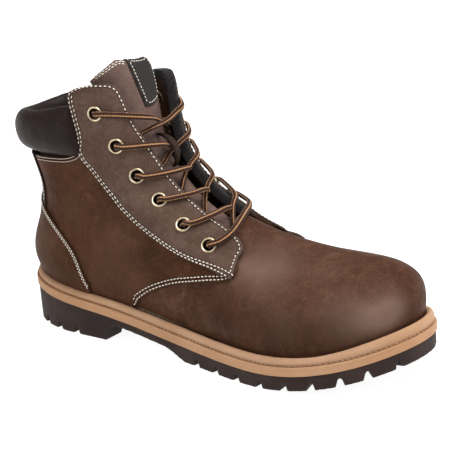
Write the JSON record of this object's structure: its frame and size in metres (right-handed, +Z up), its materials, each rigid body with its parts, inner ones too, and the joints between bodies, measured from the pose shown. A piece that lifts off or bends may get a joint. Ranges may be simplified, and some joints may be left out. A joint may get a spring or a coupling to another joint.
{
  "type": "safety work boot",
  "caption": "Lace-up ankle-height leather safety work boot with a steel toe cap, padded collar, stitched welt and lugged rubber sole, right foot.",
  "frame": {"origin": "on the ground plane and the boot's lengthwise centre line, at the middle of the underside of the tread lug behind the ball of the foot, 152 mm in front of the back of the sole", "axes": "+X towards the toe, +Z up, -Y the outer side of this right boot; the underside of the heel and of the ball of the foot stand on z = 0"},
  "size_m": [0.3102, 0.1138, 0.186],
  "materials": {
    "rubber": "matte",
    "tan_midsole": "matte",
    "thread": "matte",
    "cork": "matte",
    "steel": "satin",
    "fibre_board": "matte",
    "foam_footbed": "matte",
    "brown_leather": "satin",
    "collar_leather": "satin",
    "textile_lining": "matte",
    "foam": "matte",
    "antique_brass": "satin",
    "woven_label": "matte",
    "lace_cord": "matte",
    "aglet_plastic": "gloss"
  },
  "bodies": {
    "boot": {"outsole": "rubber", "midsole": "tan_midsole", "welt": "tan_midsole", "welt_stitching": "thread", "bottom_filler": "cork", "steel_shank": "steel", "insole_board": "fibre_board", "vamp": "brown_leather", "vamp_lining": "textile_lining", "steel_toe_cap": "steel", "toe_cap_edge_pad": "foam", "quarter_lateral": "brown_leather", "quarter_medial": "brown_leather", "quarter_lining_lateral": "textile_lining", "quarter_lining_medial": "textile_lining", "heel_stiffener": "fibre_board", "heel_counter_cover": "brown_leather", "backstay": "collar_leather", "collar_cover": "collar_leather", "collar_foam": "foam", "eyestay_lateral": "brown_leather", "eyestay_medial": "brown_leather", "eyelets_lateral": "antique_brass", "eyelets_medial": "antique_brass", "eyelet_washers_lateral": "antique_brass", "eyelet_washers_medial": "antique_brass", "tongue_gusset_lateral": "textile_lining", "tongue_gusset_medial": "textile_lining", "lace": "lace_cord", "aglets": "aglet_plastic"},
    "tongue": {"tongue_face": "brown_leather", "tongue_foam": "foam", "tongue_lining": "textile_lining", "tongue_tab": "woven_label", "lace_keeper": "brown_leather"},
    "footbed": {"footbed": "foam_footbed"}
  },
  "joints": [
    {"name": "tongue_swing", "type": "hinge", "parent": "boot", "child": "tongue", "pos_m": [0.016, 0, 0.076], "axis": [0, 1, 0], "range_deg": [-1.2, 0]},
    {"name": "footbed_lift", "type": "hinge", "parent": "boot", "child": "footbed", "pos_m": [0.1395, 0, 0.0333], "axis": [0, 1, 0], "range_deg": [0, 10]}
  ]
}
